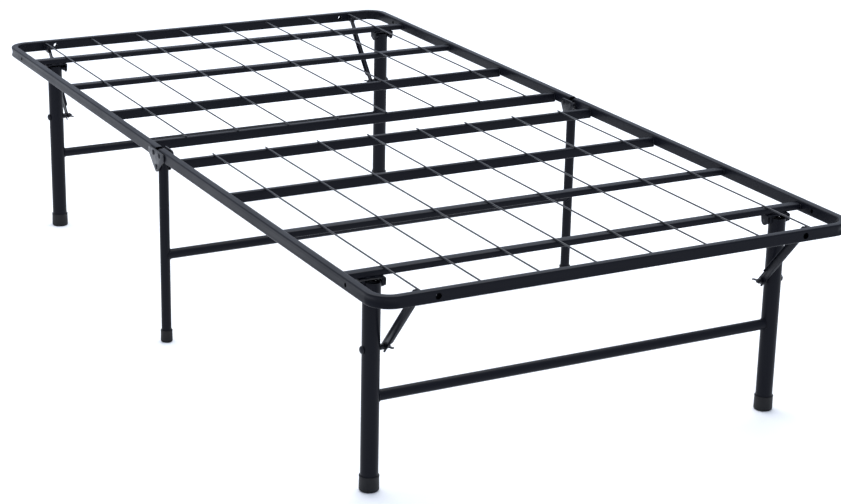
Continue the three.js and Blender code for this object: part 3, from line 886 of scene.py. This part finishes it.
# %% Folded saddles
SADDLE, SADDLE_BEND, PIN_EYE = 2.5, 3.2, 8.5
TURNED_LOW, TURNED_ROUND = 375, 2.2  # the turned-in edges: their lower end above the floor and its corner
low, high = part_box("leg_bracket_rear_right")
saddle_top, saddle_low = high.z / MM, low.z / MM
ear_out = (leg_x - low.x) / MM
near_y, far_y = low.y / MM, high.y / MM
slat_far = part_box("slat_rear_4")[1].y / MM


def folded_u(width, top, bottom, thick, bend):
    """A U upside down, in mm: outside first, then back along the inside"""
    outside = arc(width - bend, top - bend, bend, 0, 90, 5)
    inside = arc(width - bend, top - bend, bend - thick + 0.2, 90, 0, 5)
    half = [(width, bottom)] + outside
    back = inside + [(width - thick, bottom)]
    left = [(-x, y) for x, y in reversed(half)]
    left_back = [(-x, y) for x, y in reversed(back)]
    return half + left + left_back + back


u_shape = folded_u(ear_out, saddle_top, saddle_low - 1, SADDLE, SADDLE_BEND)
work = bmesh.new()
skin(work, [[Vector((x * MM, y * MM, z * MM)) for x, z in u_shape] for y in (near_y, far_y)])
blank = to_mesh(work, "saddle")

ear = [(near_y - 1, saddle_top + 1), (near_y, saddle_top)]
ear += arc(leg_pin.y / MM, leg_pin.z / MM, PIN_EYE, 180, 315, 14)
ear += [(far_y + 1, TURNED_LOW + 0.5), (far_y + 1, saddle_top - SADDLE), (far_y, saddle_top - SADDLE)]
ear += [(slat_far, saddle_top), (slat_far, saddle_top + 1)]
work = bmesh.new()
plate(work, [(y * MM, z * MM) for y, z in ear], -2 * ear_out * MM, 2 * ear_out * MM)
saddle = carve(blank, to_mesh(work, "ear_outline"), how="INTERSECT")

turned_in, turned_top = LEG_RADIUS + FIT_GAP, saddle_top - SADDLE
turned = [(turned_in, turned_top), (turned_in, TURNED_LOW)]
turned += arc(ear_out - TURNED_ROUND, TURNED_LOW + TURNED_ROUND, TURNED_ROUND, -90, 0)
turned.append((ear_out, turned_top))
work = bmesh.new()
for side in (-1, 1):
    skin(work, [[Vector((side * x * MM, y * MM, z * MM)) for x, z in turned] for y in (far_y - SADDLE, far_y)])
turned_edges = to_mesh(work, "turned_edges", ease=0.4)
for end, corner, place in CORNERS:
    at_leg = place @ Matrix.Translation((leg_x, 0, 0))
    fit(f"leg_saddle_{corner}", saddle, f"{end}_half", "frame_coat", at_leg, [f"leg_bracket_{corner}"])
    fit(f"turned_edges_{corner}", turned_edges, f"{end}_half", "frame_coat", at_leg)
print("a saddle has", len(saddle.polygons), "faces")

# %% [markdown]
# The pins are rivets: a domed head on one side, and a tail that was hammered flat on the other.
# Every rivet in the bed comes from one function, so that they look alike.

# %% Rivets


def rivet_profile(shank, head, tail, grip, head_height=2.5, tail_height=1.6):
    """(radius, height) in mm for a rivet that grips from height 0 to grip, with its head on top"""
    dome = [(head, grip), (head, grip + 0.4)]
    for turned in range(1, 8):
        angle = math.radians(turned * 11.5)
        dome.append((head * math.cos(angle), grip + 0.4 + (head_height - 0.4) * math.sin(angle)))
    foot = [(tail * 0.5, -tail_height), (tail * 0.86, -tail_height + 0.2), (tail, -tail_height + 0.7), (tail, 0)]
    return foot + [(shank, 0), (shank, grip)] + dome


def rivet(name, near, far, y, z, sizes, head_out=True):
    """A rivet along X between two values of x, in metres, with its head at the far one or the near one"""
    work = bmesh.new()
    place = Matrix.Translation((near, y, z)) @ ALONG_X
    if not head_out:
        place = Matrix.Translation((far, y, z)) @ ALONG_X.inverted()
    turn(work, rivet_profile(*sizes[:3], (far - near) / MM, *sizes[3:]), place)
    return to_mesh(work, name)


# The brace passes close to the inner ear when the leg is folded, so the pin's tail is sunk into that ear.
TAIL_SUNK = 1.5  # mm
reach = ear_out * MM
pin = rivet("leg_pin", leg_x - reach + TAIL_SUNK * MM, leg_x + reach, leg_pin.y, leg_pin.z, (3, 6, 5))
SPACER, SPACER_EASE = 5, 0.4
work = bmesh.new()
for side in (-1, 1):
    first, last = sorted((side * (LEG_RADIUS + FIT_GAP), side * (ear_out - SADDLE)))
    ring = [(SPACER - SPACER_EASE, first), (SPACER, first + SPACER_EASE)]
    ring += [(SPACER, last - SPACER_EASE), (SPACER - SPACER_EASE, last)]
    turn(work, ring, Matrix.Translation((leg_x, leg_pin.y, leg_pin.z)) @ ALONG_X)
spacers = to_mesh(work, "pin_spacers")
for end, corner, place in CORNERS:
    fit(f"leg_pin_{corner}", pin, f"{end}_half", "hardware", place)
    fit(f"pin_spacers_{corner}", spacers, f"{end}_half", "hardware", place)

weld = bmesh.new()
low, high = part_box("slat_rear_4")
for y in (low.y - 0.2 * MM, high.y + 0.2 * MM):
    if near_y * MM < y < far_y * MM:
        for x in (-13, 4):
            start = leg_x + x * MM
            bead(weld, line((start, y, low.z + 0.6 * MM), (start + 9 * MM, y, low.z + 0.6 * MM)), 1.5)
weld = to_mesh(weld, "saddle_welds")
for end, corner, place in CORNERS:
    fit(f"saddle_welds_{corner}", weld, f"{end}_half", "frame_coat", place)
print("the leg pin is", round(2 * reach, 4), "m between its heads")

# %% [markdown]
# ## Braces
#
# A brace holds each leg upright. It hangs from a tab on the end rail, and its lower end is an open fork
# that drops over the bolt in the leg. It is pressed from sheet: flat at both ends, and with a flange
# along each edge between them, which makes it stiff. The flat outline is given its thickness first,
# and the two flanges are then united with it.

# %% Pressed braces with an eye and a fork
BRACE_HALF, FORK_HALF, OVERRUN, EYE = 8.5, 3.6, 9, 3.3  # mm
BRACE_SHEET, FLANGE_DEPTH, FLANGE_WALL, FROM_EYE, FROM_BOLT, RUN_OUT = 2, 6, 1.6, 22, 18, 6
brace_pivot = pivot["brace_rear_right"]
low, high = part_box("brace_rear_right")
brace_near, brace_far = high.x - BRACE_SHEET * MM, high.x
fall = Vector((0, leg_y - brace_pivot.y, bolt.z - brace_pivot.z))
reach_mm = fall.length / MM


def brace_outline():
    """The outline with the eye's middle at 0 and the bolt's at reach_mm along"""
    end = reach_mm + OVERRUN
    upper = [(end, FORK_HALF + 1), (reach_mm, FORK_HALF)]
    fork = arc(reach_mm, 0, FORK_HALF, 90, 270, 14)
    lower = [(end, -FORK_HALF - 1)] + arc(end - 3, -BRACE_HALF + 3, 3, 0, -90, 5)
    eye_end = arc(0, 0, BRACE_HALF, 270, 90, 20)
    top = arc(end - 3, BRACE_HALF - 3, 3, 90, 0, 5)
    return eye_end + top + upper[:1] + fork + lower


along, across = fall.normalized(), Vector((0, -fall.z, fall.y)).normalized()
at_eye = Vector((0, brace_pivot.y, brace_pivot.z))
flat = [at_eye + (along * a + across * b) * MM for a, b in brace_outline()]
work = bmesh.new()
plate(work, [(point.y, point.z) for point in flat], brace_near, brace_far)
brace = to_mesh(work, "brace", ease=0.5)

work = bmesh.new()
IN_SHEET, FLANGE_START = 0.2, 1.5  # mm: how deep a flange sits in the sheet, and its depth at both ends
far_end, flange_in = reach_mm - FROM_BOLT, BRACE_HALF - FLANGE_WALL
depths = [(FROM_EYE, FLANGE_START), (FROM_EYE + RUN_OUT, FLANGE_DEPTH)]
depths += [(far_end - RUN_OUT, FLANGE_DEPTH), (far_end, FLANGE_START)]
for edge in (-1, 1):
    rings = []
    for a, depth in depths:
        ring = []
        for x, b in ((IN_SHEET, BRACE_HALF), (depth, BRACE_HALF), (depth, flange_in), (IN_SHEET, flange_in)):
            ring.append(at_eye + (along * a + across * edge * b) * MM + Vector((brace_far - x * MM, 0, 0)))
        rings.append(ring)
    skin(work, rings)
brace = carve(brace, to_mesh(work, "flanges", ease=0.4), how="UNION")
eye = (Vector(((brace_near + brace_far) / 2, brace_pivot.y, brace_pivot.z)), ALONG_X, EYE, 8)
brace = carve(brace, drills([eye]))
for end, corner, place in CORNERS:
    fit(f"brace_bar_{corner}", brace, f"brace_{corner}", "frame_coat", place, [f"brace_{corner}"])
print("a brace is", round(reach_mm), "mm from eye to bolt")

# %% [markdown]
# The tab is a small plate with a round eye, welded to the inside of the end rail.
# A rivet holds the brace to it, loose enough to swing.

# %% Brace tabs, their rivets and welds
TAB, TAB_EYE, TAB_GAP = 3, 8, 0.3
tab_near = brace_far + TAB_GAP * MM
tab_far = tab_near + TAB * MM
eye_y, eye_z = brace_pivot.y / MM, brace_pivot.z / MM
rail_y, low_z, high_z = inner_y / MM + 0.4, rail_bottom / MM + 1, deck_top / MM - 6
tab_outline = [(rail_y, low_z), (rail_y, high_z), (eye_y, eye_z + TAB_EYE)]
tab_outline += arc(eye_y, eye_z, TAB_EYE, 90, 252, 14)[1:]

work = bmesh.new()
plate(work, [(y * MM, z * MM) for y, z in tab_outline], tab_near, tab_far)
tab = to_mesh(work, "tab", ease=0.4)
tab_rivet = rivet("brace_rivet", brace_near - TAB_GAP * MM, tab_far, eye_y * MM, eye_z * MM, (3, 6, 5), head_out=False)
weld = bmesh.new()
for x in (tab_near - 0.3 * MM, tab_far + 0.3 * MM):
    bead(weld, line((x, inner_y - 0.4 * MM, (low_z + 2) * MM), (x, inner_y - 0.4 * MM, (high_z - 1) * MM)), 1.3)
tab_welds = to_mesh(weld, "tab_welds")
for end, corner, place in CORNERS:
    fit(f"brace_tab_{corner}", tab, f"{end}_half", "frame_coat", place)
    fit(f"brace_rivet_{corner}", tab_rivet, f"{end}_half", "hardware", place)
    fit(f"tab_welds_{corner}", tab_welds, f"{end}_half", "frame_coat", place)
print("the brace hangs at", round(eye_z), "mm above the floor")

# %% [markdown]
# ## Bolts and wing nuts
#
# The brace is held by a dome-headed bolt through the leg and a wing nut on the inside, so no tool is needed.
# The thread is a real helix. Each ring of points round the bolt is pushed in and out,
# and the place where it is pushed turns a little from one ring to the next.

# %% Dome-headed bolts
THREAD_OUT, THREAD_IN, PITCH, RING_STEP, ROUND_SIDES = 3.0, 2.55, 1.25, 0.2, 32
HEAD, HEAD_HEIGHT, COLLAR = 7.3, 4.8, 5.5
low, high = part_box("brace_bolt_rear_right")
tip_x, head_x = low.x / MM, leg_x / MM + LEG_RADIUS + FIT_GAP
collar_x, collar_end = leg_x / MM - ear_out, leg_x / MM - LEG_RADIUS - FIT_GAP


def bolt_ring(x, radius, thread=0.0):
    """A ring of the bolt at x, with the helix pushed in by thread"""
    ring = []
    for i in range(ROUND_SIDES):
        share = i / ROUND_SIDES
        groove = abs(2 * ((x / PITCH + share) % 1) - 1) * thread
        angle = share * 2 * math.pi
        y, z = (radius - groove) * math.cos(angle), (radius - groove) * math.sin(angle)
        ring.append(Vector((x * MM, leg_y + y * MM, bolt.z + z * MM)))
    return ring


rings = [bolt_ring(tip_x, THREAD_IN - 0.5)]
steps = int((collar_x - tip_x - 0.6) / RING_STEP)
for i in range(1, steps):
    fade = min(1, i / 4)
    thread = (THREAD_OUT - THREAD_IN) * fade
    rings.append(bolt_ring(tip_x + i * RING_STEP, THREAD_IN + thread, thread))
shank = [(collar_x, THREAD_OUT), (collar_x, COLLAR - 0.3), (collar_x + 0.3, COLLAR)]
shank += [(collar_end, COLLAR), (collar_end, THREAD_OUT), (head_x, THREAD_OUT), (head_x, HEAD - 0.2)]
HEAD_RIM = 0.5
dome = []
for i in range(10):
    t = math.radians(9 * i)
    dome.append((head_x + HEAD_RIM + (HEAD_HEIGHT - HEAD_RIM) * math.sin(t), HEAD * math.cos(t)))
rings += [bolt_ring(x, radius) for x, radius in shank + dome]
work = bmesh.new()
skin(work, rings)
bolt_mesh = to_mesh(work, "bolt")
for end, corner, place in CORNERS:
    name = f"dome_bolt_{corner}"
    fit(name, bolt_mesh, f"{end}_leg_frame", "hardware", place, [f"brace_bolt_{corner}"])
print("a bolt has", len(bolt_mesh.polygons), "faces and", round(steps * RING_STEP / PITCH), "turns of thread")

# %% [markdown]
# A wing nut is cast, so its wings flow into its hub. The hub and the two wings are built as crossing solids,
# and the Remesh modifier melts them into one skin. A little smoothing then makes the fillets of a casting.

# %% Wing nuts
HUB, HUB_HEIGHT, WING_REACH, WING_THICK, VOXEL = 5.5, 7, 16, 2.4, 0.42


def melt(mesh, voxel, rounds):
    """Joins crossing solids into one smooth skin"""
    o = bpy.data.objects.new("melt", mesh)
    bpy.context.scene.collection.objects.link(o)
    step = o.modifiers.new("melt", "REMESH")
    step.mode, step.voxel_size = "VOXEL", voxel * MM
    step = o.modifiers.new("soften", "SMOOTH")
    step.factor, step.iterations = 0.5, rounds
    melted = bpy.data.meshes.new_from_object(o.evaluated_get(bpy.context.evaluated_depsgraph_get()))
    bpy.data.objects.remove(o)
    return melted


work = bmesh.new()
turn(work, [(HUB - 0.9, -HUB_HEIGHT), (HUB, -HUB_HEIGHT * 0.35), (HUB, 0)], ALONG_X)
wing = [(-1, 0), (-HUB_HEIGHT + 1, 0), (-HUB_HEIGHT - 2, WING_REACH - 4)]
wing += arc(-HUB_HEIGHT - 0.5, WING_REACH - 3.5, 3.5, 180, 18, 12)
for side in (-1, 1):
    skin(work, [[Vector((x * MM, side * y * MM, z * MM)) for x, y in wing] for z in (-WING_THICK / 2, WING_THICK / 2)])
wing_nut = melt(to_mesh(work, "wing_nut"), VOXEL, 3)
wing_nut = carve(wing_nut, drills([(Vector((-4 * MM, 0, 0)), ALONG_X, 3.25, 16)]))
low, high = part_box("wing_nut_rear_right")
at_bolt = Matrix.Translation((high.x, leg_y, bolt.z))
for end, corner, place in CORNERS:
    fit(f"cast_wing_nut_{corner}", wing_nut, f"wing_nut_{corner}", "hardware", place @ at_bolt, [f"wing_nut_{corner}"])
print("a wing nut has", len(wing_nut.polygons), "faces")

# %% [markdown]
# ## The fold
#
# At each side the two rails are held between an inner and an outer link plate, with one pivot for each rail,
# so the halves can lie flat on each other. The plates have three corners, and the lowest one carries the middle leg.
# The pivots are shouldered rivets: a thick shoulder keeps the inner plate off the rail,
# and a thinner pin goes through the tube and the outer plate to a round head.

# %% Link plates
LINK_END, LINK_LUG, LINK_PLATE, OUTER_PLATE, OUTER_REACH = 9, 10, 3, 2.5, 32
low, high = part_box("mid_leg_right")
mid_x, mid_leg_low, mid_leg_high = (low.x + high.x) / 2, low.z, high.z
mid_radius = (high.x - low.x) / 2 / MM
link_far = mid_x / MM - mid_radius - FIT_GAP
outer_near = rail_high.x / MM + FIT_GAP
outer_far = outer_near + OUTER_PLATE
hinge_y, hinge_z = pivot["fold_rear"].y / MM, pivot["fold_rear"].z / MM
lug_z = pivot["mid_legs"].z / MM


def link_outline(reach):
    """Three round corners: two at the rails, -reach and reach from the middle, and one round the leg's pin"""
    slope = math.degrees(math.atan2(reach, hinge_z - lug_z))
    upper = arc(reach, hinge_z, LINK_END, -slope, 90, 14) + arc(-reach, hinge_z, LINK_END, 90, 180 + slope, 14)
    return upper + arc(0, lug_z, LINK_LUG, 180 + slope, 360 - slope, 18)


plates = []
for reach, near, far in ((hinge_y, link_far - LINK_PLATE, link_far), (OUTER_REACH, outer_near, outer_far)):
    work = bmesh.new()
    plate(work, [(y * MM, z * MM) for y, z in link_outline(reach)], near * MM, far * MM)
    plates.append(to_mesh(work, "link_plate", ease=0.5))
SIDES = {"left": mirrored(-1), "right": Matrix()}
for hand, place in SIDES.items():
    fit(f"fold_plate_{hand}", plates[0], "hinge_link", "hardware", place, [f"hinge_link_{hand}"])
    fit(f"outer_fold_plate_{hand}", plates[1], "hinge_link", "hardware", place)
print("the link plate joins pins", 2 * hinge_y, "mm apart")

# %% Shouldered rivets of the fold
PIN, SHOULDER, RIVET_HEAD, TAIL = 3.2, 5.5, 5.5, 4.2
RIM, DOME = 0.4, 1.6  # straight and round part of a rivet's head
leg_out = mid_x / MM + mid_radius + FIT_GAP
shoulder_end = inner_x / MM - FIT_GAP


def shoulder_pin(work, y, z, steps):
    """A rivet along X with steps of (x, radius), and a dome outside the outer plate"""
    back = link_far - LINK_PLATE
    profile = [(TAIL * 0.6, back - 1.5), (TAIL - 0.3, back - 1.4), (TAIL, back - 1.0), (TAIL, back), (PIN, back)]
    profile += [(radius, x) for x, radius in steps]
    profile += [(PIN, outer_far), (RIVET_HEAD, outer_far), (RIVET_HEAD, outer_far + RIM)]
    for i in range(1, 8):
        t = math.radians(11.5 * i)
        profile.append((RIVET_HEAD * math.cos(t), outer_far + RIM + DOME * math.sin(t)))
    turn(work, profile, Matrix.Translation((0, y * MM, z * MM)) @ ALONG_X)


work = bmesh.new()
for end_y in (-hinge_y, hinge_y):
    shoulder = [(link_far, PIN), (link_far, SHOULDER), (shoulder_end, SHOULDER), (shoulder_end, PIN)]
    shoulder_pin(work, end_y, hinge_z, shoulder)
shoulder_pin(work, 0, lug_z, [(leg_out, PIN), (leg_out, SHOULDER), (outer_near, SHOULDER), (outer_near, PIN)])
fold_pins = to_mesh(work, "fold_pins")
for hand, place in SIDES.items():
    fit(f"fold_rivets_{hand}", fold_pins, "hinge_link", "hardware", place)
print("fold rivets have", len(fold_pins.polygons), "faces")

# %% [markdown]
# ## The middle legs
#
# Two thinner legs stand under the fold. They are made as the corner legs are, from thinner tube,
# with smaller caps and a crossbar of their own.

# %% Middle legs, caps and crossbar
MID_WALL = 1.2
work = bmesh.new()
at_mid = Matrix.Translation((mid_x, 0, 0))
tube(work, round_outline(mid_radius, 40), MID_WALL, mid_leg_low / MM, mid_leg_high / MM, at_mid, ease=0.4)
hole = (Vector((mid_x, 0, lug_z * MM)), ALONG_X, PIN + FIT_GAP, 2 * mid_radius + 4)
mid_leg = carve(to_mesh(work, "mid_leg"), drills([hole]))
for hand, place in SIDES.items():
    fit(f"mid_leg_tube_{hand}", mid_leg, "mid_leg_frame", "frame_coat", place, [f"mid_leg_{hand}"])
    name = f"moulded_mid_cap_{hand}"
    fit(name, caps["middle"], "mid_leg_frame", "cap_plastic", place @ at_mid, [f"mid_foot_cap_{hand}"])
low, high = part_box("mid_crossbar")
bar, ring_welds = crossbar(mid_x, mid_radius)
at_bar = Matrix.Translation((0, 0, (low.z + high.z) / 2))
fit("mid_crossbar_tube", bar, "mid_leg_frame", "frame_coat", at_bar, ["mid_crossbar"])
fit("mid_crossbar_welds", ring_welds, "mid_leg_frame", "frame_coat", at_bar)
print("the middle crossbar is", round(high.x - low.x, 3), "m long")

# %% [markdown]
# ## Sizes
#
# The detailed bed has to stay the size of the imported model, so the box of the shown pieces is measured and printed.

# %% Print the size of the detailed bed
low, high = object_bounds()
print("visual box", [round(x, 4) for corner in (low, high) for x in corner])
